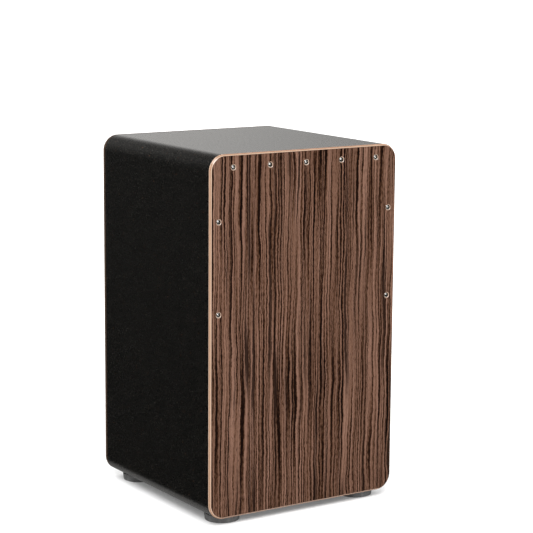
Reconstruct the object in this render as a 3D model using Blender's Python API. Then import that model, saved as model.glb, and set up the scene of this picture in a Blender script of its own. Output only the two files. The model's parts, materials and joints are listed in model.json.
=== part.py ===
"""Cajon: a wooden box drum with a struck front plate and a snare that swings away from it.

Metres, +Z up. The origin is on the floor under the middle of the box. The struck plate (the
tapa) faces -Y and the sound hole faces +Y. Left and right are as seen by someone facing the tapa.
"""
import math

import bmesh
import bpy
from mathutils import Matrix, Vector

# ---------------------------------------------------------------- overall sizes
WIDTH = 0.300
DEPTH = 0.290
HEIGHT = 0.500
CORNER_RADIUS = 0.022

# ---------------------------------------------------------------- the wooden box
SEAT_THICKNESS = 0.012          # seat and base panels
SIDE_THICKNESS = 0.009
TAPA_THICKNESS = 0.0045
TAPA_BEVEL = 0.0020
BACK_THICKNESS = 0.0040
BACK_BEVEL = 0.0006
BATTEN = 0.015                  # square section of the battens
GLUE_GAP = 0.0003               # between glued or touching faces
CORNER_STEPS = 10               # facets in a quarter round
CUTTER_SPARE = 0.0030           # how far a cutter reaches past the face it cuts through

# ---------------------------------------------------------------- sound hole
SOUND_HOLE_RADIUS = 0.060
SOUND_HOLE_DROP = 0.168         # from the top of the box to the middle of the hole
SOUND_HOLE_FACETS = 48

# ---------------------------------------------------------------- tapa screws
HEAD_RADIUS = 0.0035
HEAD_DOME = 0.0008
SCREW_RADIUS = 0.0015
SCREW_LENGTH = 0.016
COUNTERSINK_RADIUS = 0.0048
SCREW_CLEARANCE = 0.0003
PILOT_SPARE = 0.0008            # how much deeper a pilot hole is than its screw
SCREW_FACETS = 12
TIP_SHARE = 0.35                # flat end of a screw's point, as a share of its shank
TIP_TAPER = 1.6                 # length of the point, in shank radii
RIM_SHARE = 0.35                # straight rim of a pan head, as a share of its height
TOP_SCREW_COUNT = 5
TOP_SCREW_PITCH = 0.0574
TOP_SCREW_INSET = 0.0174        # from the top of the box
SIDE_SCREW_INSET = 0.0128       # from the side of the box
SIDE_SCREW_DROPS = (0.088, 0.211)

# ---------------------------------------------------------------- feet
FOOT_HEIGHT = 0.010
FOOT_RADIUS = 0.0246
FOOT_TAPER = 0.0010
FOOT_EDGE = 0.0012
FOOT_RECESS_RADIUS = 0.0080
FOOT_RECESS_DEPTH = 0.0050
FOOT_SIDE_INSET = 0.039         # from the side of the box to the middle of a foot
FOOT_END_INSET = 0.032          # from the front or the back of the box
FOOT_FACETS = 32
FOOT_SCREW_RADIUS = 0.0020
FOOT_SCREW_HEAD_RADIUS = 0.0045
FOOT_SCREW_HEAD_HEIGHT = 0.0022
FOOT_SCREW_BITE = 0.0090        # how far it goes into the base panel
WASHER_RADIUS = 0.0070
WASHER_THICKNESS = 0.0010

# ---------------------------------------------------------------- snare mechanism
BAR_RADIUS = 0.0080
BAR_FLAT = 0.0060               # from the bar's axis to the flat that the snares lie on
BAR_FACETS = 24
BAR_DROP = 0.170                # from the top of the box to the bar's axis
BEARING_CLEARANCE = 0.0003
BRACKET_WIDTH = 0.034
BRACKET_HEIGHT = 0.046
BRACKET_THICKNESS = 0.014
BRACKET_SCREW_RADIUS = 0.0017
BRACKET_SCREW_SPREAD = 0.0155   # from the bar's axis, up and down
BRACKET_SCREW_BITE = 0.0055
PAN_HEAD_RADIUS = 0.0034
PAN_HEAD_HEIGHT = 0.0021
SNARE_STRANDS = 12
STRAND_PITCH = 0.0040
STRAND_WIDTH = 0.0022
STRAND_THICKNESS = 0.0012
STRAND_REACH = 0.118            # from the bar's axis to the free ends
STRAND_ROOT = 0.0045            # where the strands leave their plate
SNARE_SPACING = 0.092           # between the middles of the two snares
SNARE_PLATE_MARGIN = 0.0100     # plate beyond the strands, where the screws go
SNARE_PLATE_DROP = 0.0045       # plate below the bar's axis
CLAMP_THICKNESS = 0.0015
CLAMP_HALF_HEIGHT = 0.0038
CLAMP_SCREW_RADIUS = 0.0013
CLAMP_SCREW_BITE = 0.0085
CLAMP_HEAD_RADIUS = 0.0025
CLAMP_HEAD_HEIGHT = 0.0016
REST_CLEARANCE = 0.0004         # between the free ends and the back of the tapa
LEVER_RADIUS = 0.0045
LEVER_LENGTH = 0.098
KNOB_RADIUS = 0.0095
KNOB_LENGTH = 0.026
KNOB_SOCKET = 0.014
KNOB_MOUTH_RADIUS = 0.0071
KNOB_WAIST = 0.0087             # from the mouth to where the knob is thickest
KNOB_NOSE = 0.0066              # length of the rounded end

# ---------------------------------------------------------------- places that follow
HALF_WIDTH = WIDTH / 2
FRONT_FACE = -DEPTH / 2
TAPA_BACK = FRONT_FACE + TAPA_THICKNESS
SHELL_FRONT = TAPA_BACK + GLUE_GAP
BACK_FACE = DEPTH / 2
BACK_FRONT = BACK_FACE - BACK_THICKNESS
SHELL_BACK = BACK_FRONT - GLUE_GAP
FLOOR_OF_BOX = FOOT_HEIGHT
SEAT_UNDERSIDE = HEIGHT - SEAT_THICKNESS
BASE_TOPSIDE = FLOOR_OF_BOX + SEAT_THICKNESS
POST_INNER = HALF_WIDTH - CORNER_RADIUS
PANEL_HALF = POST_INNER - GLUE_GAP
SIDE_TOP = HEIGHT - CORNER_RADIUS - GLUE_GAP
SIDE_BOTTOM = FLOOR_OF_BOX + CORNER_RADIUS + GLUE_GAP
SIDE_INNER = HALF_WIDTH - SIDE_THICKNESS
SIDE_BATTEN_OUTER = SIDE_INNER - GLUE_GAP
SIDE_BATTEN_INNER = SIDE_BATTEN_OUTER - BATTEN
CROSS_BATTEN_HALF = min(SIDE_BATTEN_INNER - GLUE_GAP, PANEL_HALF)
BATTEN_BACK = SHELL_FRONT + BATTEN
SCREW_TIP = FRONT_FACE + SCREW_LENGTH
BRACKET_FRONT = BATTEN_BACK + GLUE_GAP
PIVOT_Y = BRACKET_FRONT + BRACKET_WIDTH / 2
PIVOT_Z = HEIGHT - BAR_DROP
BAR_HALF = SIDE_INNER - GLUE_GAP - BEARING_CLEARANCE
COMB_BACK = -(BAR_FLAT + GLUE_GAP)
COMB_FRONT = COMB_BACK - STRAND_THICKNESS
CLAMP_BACK = COMB_FRONT - GLUE_GAP
CLAMP_FRONT = CLAMP_BACK - CLAMP_THICKNESS
COMB_HALF = (SNARE_STRANDS - 1) * STRAND_PITCH / 2 + STRAND_WIDTH / 2
PLATE_HALF = COMB_HALF + SNARE_PLATE_MARGIN
CLAMP_SCREW_X = COMB_HALF + SNARE_PLATE_MARGIN / 2


def lean_angle():
    """Turn of the bar about +X that brings the strands' free ends up to the tapa."""
    reach = PIVOT_Y - (TAPA_BACK + REST_CLEARANCE)
    span = math.hypot(COMB_FRONT, STRAND_REACH)
    return math.asin(reach / span) - math.atan2(-COMB_FRONT, STRAND_REACH)


# ---------------------------------------------------------------- materials
def material(name, colour, roughness, metallic=0.0):
    made = bpy.data.materials.new(name)
    made.use_nodes = True
    shader = made.node_tree.nodes["Principled BSDF"]
    shader.inputs["Base Color"].default_value = (*colour, 1.0)
    shader.inputs["Roughness"].default_value = roughness
    shader.inputs["Metallic"].default_value = metallic
    made.diffuse_color = (*colour, 1.0)
    return made


def make_materials():
    return {
        "black": material("black_lacquer", (0.012, 0.011, 0.010), 0.35),
        "veneer": material("fineline_veneer", (0.130, 0.063, 0.041), 0.45),
        "birch": material("birch_batten", (0.560, 0.380, 0.230), 0.60),
        "beech": material("beech_bar", (0.500, 0.290, 0.160), 0.50),
        "rubber": material("grey_rubber", (0.045, 0.045, 0.045), 0.80),
        "steel": material("bright_steel", (0.600, 0.600, 0.580), 0.20, 1.0),
        "wire": material("snare_wire", (0.550, 0.550, 0.540), 0.30, 1.0),
        "knob": material("black_knob", (0.020, 0.020, 0.020), 0.50),
    }


# ---------------------------------------------------------------- mesh helpers
def add_object(name, mesh_maker, surface, smooth=False, parent=None):
    """One named object from a freshly built bmesh, with its faces turned outwards."""
    mesh = bpy.data.meshes.new(name)
    mesh_maker.normal_update()
    bmesh.ops.recalc_face_normals(mesh_maker, faces=mesh_maker.faces)
    for face in mesh_maker.faces:
        face.smooth = smooth
    mesh_maker.to_mesh(mesh)
    mesh_maker.free()
    if surface:
        mesh.materials.append(surface)
    made = bpy.data.objects.new(name, mesh)
    bpy.context.scene.collection.objects.link(made)
    made.parent = parent
    return made


def bridge(work, lower, upper):
    for i, corner in enumerate(lower):
        j = (i + 1) % len(lower)
        work.faces.new((corner, lower[j], upper[j], upper[i]))


def prism(outline, start, end):
    """Extrude a closed (x, z) outline along Y from start to end."""
    return stacked(((outline, start), (outline, end)))


def stacked(sections):
    """Join closed (x, z) outlines, each at its own y, into one closed solid."""
    work = bmesh.new()
    rings = []
    for outline, y in sections:
        rings.append([work.verts.new((x, y, z)) for x, z in outline])
    for lower, upper in zip(rings, rings[1:]):
        bridge(work, lower, upper)
    work.faces.new(rings[0])
    work.faces.new(rings[-1])
    return work


def cuboid(x_span, y_span, z_span):
    x0, x1 = x_span
    z0, z1 = z_span
    return prism(((x0, z0), (x1, z0), (x1, z1), (x0, z1)), *y_span)


def arc(centre, radius, first, last, steps):
    """Points on a circle in the XZ plane, both ends included, angles in degrees."""
    points = []
    for i in range(steps + 1):
        angle = math.radians(first + (last - first) * i / steps)
        points.append((centre[0] + radius * math.cos(angle), centre[1] + radius * math.sin(angle)))
    return points


def box_outline(inset=0.0):
    """The box seen from the front: a rectangle with quarter-round corners."""
    radius = CORNER_RADIUS - inset
    high = HEIGHT - CORNER_RADIUS
    low = FLOOR_OF_BOX + CORNER_RADIUS
    points = arc((POST_INNER, high), radius, 0, 90, CORNER_STEPS)
    points += arc((-POST_INNER, high), radius, 90, 180, CORNER_STEPS)
    points += arc((-POST_INNER, low), radius, 180, 270, CORNER_STEPS)
    points += arc((POST_INNER, low), radius, 270, 360, CORNER_STEPS)
    return points


def lathe(profile, facets, ring=False):
    """Spin (radius, height) points about +Z. A ring profile closes on itself round a hole."""
    work = bmesh.new()
    loops = []
    for radius, height in profile:
        if radius == 0.0:
            loops.append([work.verts.new((0.0, 0.0, height))])
            continue
        angles = [2 * math.pi * i / facets for i in range(facets)]
        loops.append([work.verts.new((radius * math.cos(a), radius * math.sin(a), height))
                      for a in angles])
    pairs = list(zip(loops, loops[1:]))
    if ring:
        pairs.append((loops[-1], loops[0]))
    for lower, upper in pairs:
        for i in range(facets):
            j = (i + 1) % facets
            if len(lower) == 1:
                work.faces.new((lower[0], upper[j], upper[i]))
            elif len(upper) == 1:
                work.faces.new((lower[i], lower[j], upper[0]))
            else:
                work.faces.new((lower[i], lower[j], upper[j], upper[i]))
    return work


def turned(work, direction, place):
    """Move a solid that was spun about +Z so that +Z points along direction, at place."""
    spin = Vector((0, 0, 1)).rotation_difference(Vector(direction)).to_matrix().to_4x4()
    bmesh.ops.transform(work, matrix=Matrix.Translation(place) @ spin, verts=work.verts)
    return work


def cut(target, name, work):
    """Take a solid away from an object. The cutter stays as a wire object."""
    cutter = add_object(name, work, None, parent=target.parent)
    cutter.hide_render = True
    cutter.display_type = "WIRE"
    modifier = target.modifiers.new(name, "BOOLEAN")
    modifier.operation = "DIFFERENCE"
    modifier.solver = "EXACT"
    modifier.object = cutter


def hole(radius, length, facets=SCREW_FACETS):
    """A plain cylinder to cut a hole with, from height 0 to length."""
    return lathe(((0.0, 0.0), (radius, 0.0), (radius, length), (0.0, length)), facets)


def dome_profile(radius, base, height, steps=3):
    """A shallow dome's outline from its rim to its top, as (radius, height) points."""
    points = []
    for i in range(steps):
        angle = math.radians(90 * i / steps)
        points.append((radius * math.cos(angle), base + height * math.sin(angle)))
    points.append((0.0, base + height))
    return points


def pan_screw(shank_radius, bite, head_radius, head_height):
    """A screw with its shank below height 0 and its domed head above it."""
    rim = head_height * RIM_SHARE
    profile = [(0.0, -bite), (shank_radius * TIP_SHARE, -bite)]
    profile += [(shank_radius, -bite + TIP_TAPER * shank_radius), (shank_radius, 0.0)]
    profile += [(head_radius, 0.0)]
    profile += dome_profile(head_radius, rim, head_height - rim)
    return lathe(profile, SCREW_FACETS)


# ---------------------------------------------------------------- the wooden box
def make_panels(surface):
    panels = {}
    depth = (SHELL_FRONT, SHELL_BACK)
    across = (-PANEL_HALF, PANEL_HALF)
    upright = (SIDE_BOTTOM, SIDE_TOP)
    panels["seat"] = add_object("seat_panel", cuboid(across, depth, (SEAT_UNDERSIDE, HEIGHT)),
                                surface)
    panels["base"] = add_object("base_panel", cuboid(across, depth, (FLOOR_OF_BOX, BASE_TOPSIDE)),
                                surface)
    panels["left"] = add_object("left_side_panel",
                                cuboid((-HALF_WIDTH, -SIDE_INNER), depth, upright), surface)
    panels["right"] = add_object("right_side_panel",
                                 cuboid((SIDE_INNER, HALF_WIDTH), depth, upright), surface)
    return panels


def make_corner_posts(surface):
    """Quarter-round posts that run the depth of the box in its four long corners."""
    high = HEIGHT - CORNER_RADIUS
    low = FLOOR_OF_BOX + CORNER_RADIUS
    corners = (
        ("top_right_corner_post", POST_INNER, high, 0),
        ("top_left_corner_post", -POST_INNER, high, 90),
        ("bottom_left_corner_post", -POST_INNER, low, 180),
        ("bottom_right_corner_post", POST_INNER, low, 270),
    )
    for name, x, z, start in corners:
        outline = [(x, z)] + arc((x, z), CORNER_RADIUS, start, start + 90, CORNER_STEPS)
        add_object(name, prism(outline, SHELL_FRONT, SHELL_BACK), surface)


def make_battens(surface):
    """Battens round the inside of the front and back rims. The front ones take screws."""
    top = (SEAT_UNDERSIDE - GLUE_GAP - BATTEN, SEAT_UNDERSIDE - GLUE_GAP)
    bottom = (BASE_TOPSIDE + GLUE_GAP, BASE_TOPSIDE + GLUE_GAP + BATTEN)
    across = (-CROSS_BATTEN_HALF, CROSS_BATTEN_HALF)
    left = (-SIDE_BATTEN_OUTER, -SIDE_BATTEN_INNER)
    right = (SIDE_BATTEN_INNER, SIDE_BATTEN_OUTER)
    upright = (SIDE_BOTTOM, SIDE_TOP)
    places = {"top": (across, top), "bottom": (across, bottom), "left": (left, upright),
              "right": (right, upright)}
    ends = {"front": (SHELL_FRONT, BATTEN_BACK), "rear": (SHELL_BACK - BATTEN, SHELL_BACK)}
    battens = {}
    for end, y_span in ends.items():
        for side, (x_span, z_span) in places.items():
            name = f"{end}_{side}_batten"
            battens[name] = add_object(name, cuboid(x_span, y_span, z_span), surface)
    return battens


def make_tapa(surface):
    front = box_outline(TAPA_BEVEL)
    full = box_outline()
    sections = ((front, FRONT_FACE), (full, FRONT_FACE + TAPA_BEVEL), (full, TAPA_BACK))
    return add_object("tapa", stacked(sections), surface)


def make_back_panel(surface):
    sections = ((box_outline(), BACK_FRONT), (box_outline(), BACK_FACE - BACK_BEVEL),
                (box_outline(BACK_BEVEL), BACK_FACE))
    panel = add_object("back_panel", stacked(sections), surface)
    through = hole(SOUND_HOLE_RADIUS, BACK_THICKNESS + 2 * CUTTER_SPARE, SOUND_HOLE_FACETS)
    place = (0.0, BACK_FRONT - CUTTER_SPARE, HEIGHT - SOUND_HOLE_DROP)
    cut(panel, "sound_hole_cutter", turned(through, (0, 1, 0), place))


# ---------------------------------------------------------------- tapa screws
def tapa_screw_places():
    """(x, z, the batten it bites) of each screw, from the top row down both sides."""
    places = []
    for i in range(TOP_SCREW_COUNT):
        x = (i - (TOP_SCREW_COUNT - 1) / 2) * TOP_SCREW_PITCH
        places.append((x, HEIGHT - TOP_SCREW_INSET, "front_top_batten"))
    for drop in SIDE_SCREW_DROPS:
        for side, batten in ((-1, "front_left_batten"), (1, "front_right_batten")):
            places.append((side * (HALF_WIDTH - SIDE_SCREW_INSET), HEIGHT - drop, batten))
    return places


def head_sink():
    """How far the rim of a screw's head lies below the face of the tapa."""
    return COUNTERSINK_RADIUS - SCREW_CLEARANCE * math.sqrt(2) - HEAD_RADIUS


def tapa_screw():
    """Raised countersunk screw. Height 0 is the face of the tapa and the tip points up."""
    rim = head_sink()
    neck = rim + HEAD_RADIUS - SCREW_RADIUS
    profile = [(r, 2 * rim - h) for r, h in reversed(dome_profile(HEAD_RADIUS, rim, HEAD_DOME))]
    profile += [(SCREW_RADIUS, neck), (SCREW_RADIUS, SCREW_LENGTH - TIP_TAPER * SCREW_RADIUS)]
    profile += [(SCREW_RADIUS * TIP_SHARE, SCREW_LENGTH), (0.0, SCREW_LENGTH)]
    return lathe(profile, SCREW_FACETS)


def tapa_screw_hole():
    """Countersink and clearance hole through the tapa."""
    radius = SCREW_RADIUS + SCREW_CLEARANCE
    end = TAPA_THICKNESS + CUTTER_SPARE
    profile = ((0.0, -CUTTER_SPARE), (COUNTERSINK_RADIUS + CUTTER_SPARE, -CUTTER_SPARE),
               (radius, COUNTERSINK_RADIUS - radius), (radius, end), (0.0, end))
    return lathe(profile, SCREW_FACETS)


def make_tapa_screws(tapa, battens, surface):
    inwards = (0, 1, 0)
    pilot_radius = SCREW_RADIUS + SCREW_CLEARANCE
    pilot_start = SHELL_FRONT - CUTTER_SPARE
    pilot_length = SCREW_TIP + PILOT_SPARE - pilot_start
    for i, (x, z, batten) in enumerate(tapa_screw_places(), start=1):
        add_object(f"tapa_screw_{i}", turned(tapa_screw(), inwards, (x, FRONT_FACE, z)), surface,
                   smooth=True)
        cut(tapa, f"tapa_hole_cutter_{i}", turned(tapa_screw_hole(), inwards, (x, FRONT_FACE, z)))
        cut(battens[batten], f"tapa_pilot_cutter_{i}",
            turned(hole(pilot_radius, pilot_length), inwards, (x, pilot_start, z)))


# ---------------------------------------------------------------- feet
def foot():
    bore = FOOT_SCREW_RADIUS + SCREW_CLEARANCE
    top = FOOT_HEIGHT - GLUE_GAP
    profile = (
        (bore, top),
        (FOOT_RADIUS, top),
        (FOOT_RADIUS, top - FOOT_EDGE),
        (FOOT_RADIUS - FOOT_TAPER, FOOT_EDGE),
        (FOOT_RADIUS - FOOT_TAPER - FOOT_EDGE, 0.0),
        (FOOT_RECESS_RADIUS, 0.0),
        (FOOT_RECESS_RADIUS, FOOT_RECESS_DEPTH),
        (bore, FOOT_RECESS_DEPTH),
    )
    return lathe(profile, FOOT_FACETS, ring=True)


def washer():
    bore = FOOT_SCREW_RADIUS + SCREW_CLEARANCE
    top = FOOT_RECESS_DEPTH - GLUE_GAP
    bottom = top - WASHER_THICKNESS
    profile = ((bore, top), (WASHER_RADIUS, top), (WASHER_RADIUS, bottom), (bore, bottom))
    return lathe(profile, SCREW_FACETS, ring=True)


def make_feet(base_panel, materials):
    head_face = FOOT_RECESS_DEPTH - 2 * GLUE_GAP - WASHER_THICKNESS
    bite = FLOOR_OF_BOX + FOOT_SCREW_BITE - head_face
    pilot_start = FLOOR_OF_BOX - CUTTER_SPARE
    pilot_length = FLOOR_OF_BOX + FOOT_SCREW_BITE + PILOT_SPARE - pilot_start
    x = HALF_WIDTH - FOOT_SIDE_INSET
    y = DEPTH / 2 - FOOT_END_INSET
    corners = (("front_left", -x, -y), ("front_right", x, -y), ("rear_left", -x, y),
               ("rear_right", x, y))
    upwards = (0, 0, 1)
    for name, foot_x, foot_y in corners:
        place = (foot_x, foot_y, 0.0)
        add_object(f"{name}_foot", turned(foot(), upwards, place), materials["rubber"], smooth=True)
        add_object(f"{name}_washer", turned(washer(), upwards, place), materials["steel"])
        screw = pan_screw(FOOT_SCREW_RADIUS, bite, FOOT_SCREW_HEAD_RADIUS, FOOT_SCREW_HEAD_HEIGHT)
        add_object(f"{name}_foot_screw", turned(screw, (0, 0, -1), (foot_x, foot_y, head_face)),
                   materials["steel"], smooth=True)
        pilot = hole(FOOT_SCREW_RADIUS + SCREW_CLEARANCE, pilot_length)
        cut(base_panel, f"{name}_pilot_cutter",
            turned(pilot, upwards, (foot_x, foot_y, pilot_start)))


# ---------------------------------------------------------------- snare brackets
def make_bracket(name, side, side_panel, materials):
    """A bearing block on a side panel, with the bar's bore and two screws."""
    outer = side * (SIDE_INNER - GLUE_GAP)
    inner = outer - side * BRACKET_THICKNESS
    y_span = (BRACKET_FRONT, BRACKET_FRONT + BRACKET_WIDTH)
    z_span = (PIVOT_Z - BRACKET_HEIGHT / 2, PIVOT_Z + BRACKET_HEIGHT / 2)
    block = add_object(f"{name}_snare_bracket", cuboid(sorted((inner, outer)), y_span, z_span),
                       materials["birch"])
    outwards = (side, 0, 0)
    start = inner - side * CUTTER_SPARE
    cut_length = BRACKET_THICKNESS + 2 * CUTTER_SPARE
    bore = hole(BAR_RADIUS + BEARING_CLEARANCE, cut_length, BAR_FACETS)
    cut(block, f"{name}_bearing_cutter", turned(bore, outwards, (start, PIVOT_Y, PIVOT_Z)))
    through = BRACKET_THICKNESS + GLUE_GAP + BRACKET_SCREW_BITE
    head_face = inner - side * GLUE_GAP
    radius = BRACKET_SCREW_RADIUS + SCREW_CLEARANCE
    for end, lift in (("upper", BRACKET_SCREW_SPREAD), ("lower", -BRACKET_SCREW_SPREAD)):
        z = PIVOT_Z + lift
        screw = pan_screw(BRACKET_SCREW_RADIUS, through + GLUE_GAP, PAN_HEAD_RADIUS,
                          PAN_HEAD_HEIGHT)
        add_object(f"{name}_{end}_bracket_screw",
                   turned(screw, (-side, 0, 0), (head_face, PIVOT_Y, z)), materials["steel"],
                   smooth=True)
        cut(block, f"{name}_{end}_bracket_cutter",
            turned(hole(radius, cut_length), outwards, (start, PIVOT_Y, z)))
        pilot_start = outer - side * CUTTER_SPARE
        length = CUTTER_SPARE + GLUE_GAP + BRACKET_SCREW_BITE + PILOT_SPARE
        cut(side_panel, f"{name}_{end}_side_cutter",
            turned(hole(radius, length), outwards, (pilot_start, PIVOT_Y, z)))


# ---------------------------------------------------------------- the moving snare
def bar_section(flat):
    """The bar's round section in (y, z), with its front cut back to a flat if there is one."""
    points = []
    for i in range(BAR_FACETS):
        angle = 2 * math.pi * (i + 0.5) / BAR_FACETS
        y = BAR_RADIUS * math.cos(angle)
        points.append((max(y, -flat) if flat else y, BAR_RADIUS * math.sin(angle)))
    return points


def make_bar(pivot, surface):
    """A dowel across the box, flat along the front between its two round ends."""
    round_end = SIDE_INNER - GLUE_GAP - BRACKET_THICKNESS - BAR_RADIUS
    flat_end = round_end - (BAR_RADIUS - BAR_FLAT)
    stations = ((-BAR_HALF, None), (-round_end, None), (-flat_end, BAR_FLAT),
                (flat_end, BAR_FLAT), (round_end, None), (BAR_HALF, None))
    work = bmesh.new()
    rings = []
    for x, flat in stations:
        rings.append([work.verts.new((x, y, z)) for y, z in bar_section(flat)])
    for lower, upper in zip(rings, rings[1:]):
        bridge(work, lower, upper)
    work.faces.new(rings[0])
    work.faces.new(rings[-1])
    bar = add_object("snare_bar", work, surface, parent=pivot)
    socket = hole(LEVER_RADIUS + GLUE_GAP, BAR_RADIUS + CUTTER_SPARE)
    cut(bar, "lever_socket_cutter", turned(socket, (0, 1, 0), (0.0, 0.0, 0.0)))
    return bar


def comb_outline(middle):
    """A snare seen from the front: a plate along the bar with free strands above it."""
    points = [(middle + PLATE_HALF, STRAND_ROOT), (middle + PLATE_HALF, -SNARE_PLATE_DROP),
              (middle - PLATE_HALF, -SNARE_PLATE_DROP), (middle - PLATE_HALF, STRAND_ROOT)]
    for i in range(SNARE_STRANDS):
        x = middle + (i - (SNARE_STRANDS - 1) / 2) * STRAND_PITCH
        left = x - STRAND_WIDTH / 2
        right = x + STRAND_WIDTH / 2
        points += [(left, STRAND_ROOT), (left, STRAND_REACH), (right, STRAND_REACH),
                   (right, STRAND_ROOT)]
    return points


def make_snare(name, middle, bar, pivot, materials):
    """One snare with its clamp strip and two screws, all on the bar's front flat."""
    snare = add_object(f"{name}_snare", prism(comb_outline(middle), COMB_FRONT, COMB_BACK),
                       materials["wire"], parent=pivot)
    strip = cuboid((middle - PLATE_HALF, middle + PLATE_HALF), (CLAMP_FRONT, CLAMP_BACK),
                   (-CLAMP_HALF_HEIGHT, CLAMP_HALF_HEIGHT))
    clamp = add_object(f"{name}_clamp_strip", strip, materials["steel"], parent=pivot)
    head_face = CLAMP_FRONT - GLUE_GAP
    length = -head_face - BAR_FLAT + CLAMP_SCREW_BITE
    bore_start = CLAMP_FRONT - CUTTER_SPARE
    bore_length = CLAMP_SCREW_BITE + PILOT_SPARE - BAR_FLAT - bore_start
    for end, side in (("left", -1), ("right", 1)):
        x = middle + side * CLAMP_SCREW_X
        screw = pan_screw(CLAMP_SCREW_RADIUS, length, CLAMP_HEAD_RADIUS, CLAMP_HEAD_HEIGHT)
        add_object(f"{name}_{end}_clamp_screw", turned(screw, (0, -1, 0), (x, head_face, 0.0)),
                   materials["steel"], smooth=True, parent=pivot)
        for piece, target in (("snare", snare), ("clamp", clamp), ("bar", bar)):
            bore = hole(CLAMP_SCREW_RADIUS + SCREW_CLEARANCE, bore_length)
            cut(target, f"{name}_{end}_{piece}_cutter",
                turned(bore, (0, 1, 0), (x, bore_start, 0.0)))


def make_lever(pivot, materials):
    """A dowel let into the bar, pointing at the sound hole, with a knob on its end."""
    stick = lathe(((0.0, GLUE_GAP), (LEVER_RADIUS, GLUE_GAP), (LEVER_RADIUS, LEVER_LENGTH),
                   (0.0, LEVER_LENGTH)), SCREW_FACETS)
    add_object("snare_lever", turned(stick, (0, 1, 0), (0.0, 0.0, 0.0)), materials["beech"],
               parent=pivot)
    mouth = LEVER_LENGTH - KNOB_SOCKET
    bore = LEVER_RADIUS + GLUE_GAP
    end = mouth + KNOB_LENGTH
    profile = [(0.0, LEVER_LENGTH + GLUE_GAP), (bore, LEVER_LENGTH + GLUE_GAP), (bore, mouth)]
    profile += [(KNOB_MOUTH_RADIUS, mouth), (KNOB_RADIUS, mouth + KNOB_WAIST)]
    profile += dome_profile(KNOB_RADIUS, end - KNOB_NOSE, KNOB_NOSE, steps=4)
    add_object("lever_knob", turned(lathe(profile, BAR_FACETS), (0, 1, 0), (0.0, 0.0, 0.0)),
               materials["knob"], smooth=True, parent=pivot)


def make_snare_assembly(materials):
    """Everything that swings with the bar hangs from an empty on the bar's axis."""
    pivot = bpy.data.objects.new("snare_pivot", None)
    pivot.location = (0.0, PIVOT_Y, PIVOT_Z)
    pivot.rotation_euler = (lean_angle(), 0.0, 0.0)
    bpy.context.scene.collection.objects.link(pivot)
    bar = make_bar(pivot, materials["beech"])
    for name, side in (("left", -1), ("right", 1)):
        make_snare(name, side * SNARE_SPACING / 2, bar, pivot, materials)
    make_lever(pivot, materials)


def main():
    for old in list(bpy.data.objects):
        bpy.data.objects.remove(old)
    materials = make_materials()
    panels = make_panels(materials["black"])
    make_corner_posts(materials["black"])
    battens = make_battens(materials["birch"])
    tapa = make_tapa(materials["veneer"])
    make_back_panel(materials["black"])
    make_tapa_screws(tapa, battens, materials["steel"])
    make_feet(panels["base"], materials)
    make_bracket("left", -1, panels["left"], materials)
    make_bracket("right", 1, panels["right"], materials)
    make_snare_assembly(materials)


main()
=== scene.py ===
"""Looks for the cajon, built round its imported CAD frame.

Metres, +Z up, the struck plate (tapa) facing -Y and the sound hole facing +Y. Each piece here
stands for a CAD node, takes its place from that node's box, and rides on the node's body.
"""
import json
import math

import bmesh
import bpy
from mathutils import Matrix, Vector

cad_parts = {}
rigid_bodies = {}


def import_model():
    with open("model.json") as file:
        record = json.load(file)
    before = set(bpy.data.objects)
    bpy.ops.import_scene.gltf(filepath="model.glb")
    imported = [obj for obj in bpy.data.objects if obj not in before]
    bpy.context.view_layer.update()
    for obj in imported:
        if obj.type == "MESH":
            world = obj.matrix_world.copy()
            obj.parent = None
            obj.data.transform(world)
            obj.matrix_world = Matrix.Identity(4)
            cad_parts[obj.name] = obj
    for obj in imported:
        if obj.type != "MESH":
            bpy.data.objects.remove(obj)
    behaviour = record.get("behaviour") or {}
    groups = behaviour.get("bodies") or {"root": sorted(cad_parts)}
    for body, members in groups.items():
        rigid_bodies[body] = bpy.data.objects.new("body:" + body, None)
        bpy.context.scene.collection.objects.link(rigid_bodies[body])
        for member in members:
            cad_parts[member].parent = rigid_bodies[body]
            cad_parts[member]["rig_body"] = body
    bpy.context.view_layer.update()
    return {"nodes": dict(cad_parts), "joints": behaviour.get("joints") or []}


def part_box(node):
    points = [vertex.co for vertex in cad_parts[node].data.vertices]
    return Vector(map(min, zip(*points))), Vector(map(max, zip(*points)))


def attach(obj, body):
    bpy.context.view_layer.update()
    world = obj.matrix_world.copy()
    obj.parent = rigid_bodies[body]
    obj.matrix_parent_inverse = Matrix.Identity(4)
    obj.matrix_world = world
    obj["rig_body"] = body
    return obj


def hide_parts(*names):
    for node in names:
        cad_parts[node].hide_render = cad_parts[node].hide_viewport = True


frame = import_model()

# ---------------------------------------------------------------- camera
# Fitted to the photograph: the box's edges, its corner rounds and its nine screws.
CAMERA_PLACE = (-1.40422, -2.18434, 0.77591)
CAMERA_YAW = 33.339             # degrees, from +Y towards +X
CAMERA_PITCH = 9.961            # degrees below the horizon
CAMERA_ROLL = 0.419
CAMERA_LENS = 126.29            # mm, on a 36 mm sensor
CAMERA_SENSOR = 36.0


def make_camera():
    data = bpy.data.cameras.new("camera")
    data.lens = CAMERA_LENS
    data.sensor_width = CAMERA_SENSOR
    camera = bpy.data.objects.new("camera", data)
    turn = Matrix.Rotation(-math.radians(CAMERA_YAW), 4, "Z")
    tilt = Matrix.Rotation(math.radians(90.0 - CAMERA_PITCH), 4, "X")
    roll = Matrix.Rotation(math.radians(CAMERA_ROLL), 4, "Z")
    camera.matrix_world = Matrix.Translation(CAMERA_PLACE) @ turn @ tilt @ roll
    bpy.context.scene.collection.objects.link(camera)
    bpy.context.scene.camera = camera


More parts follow.
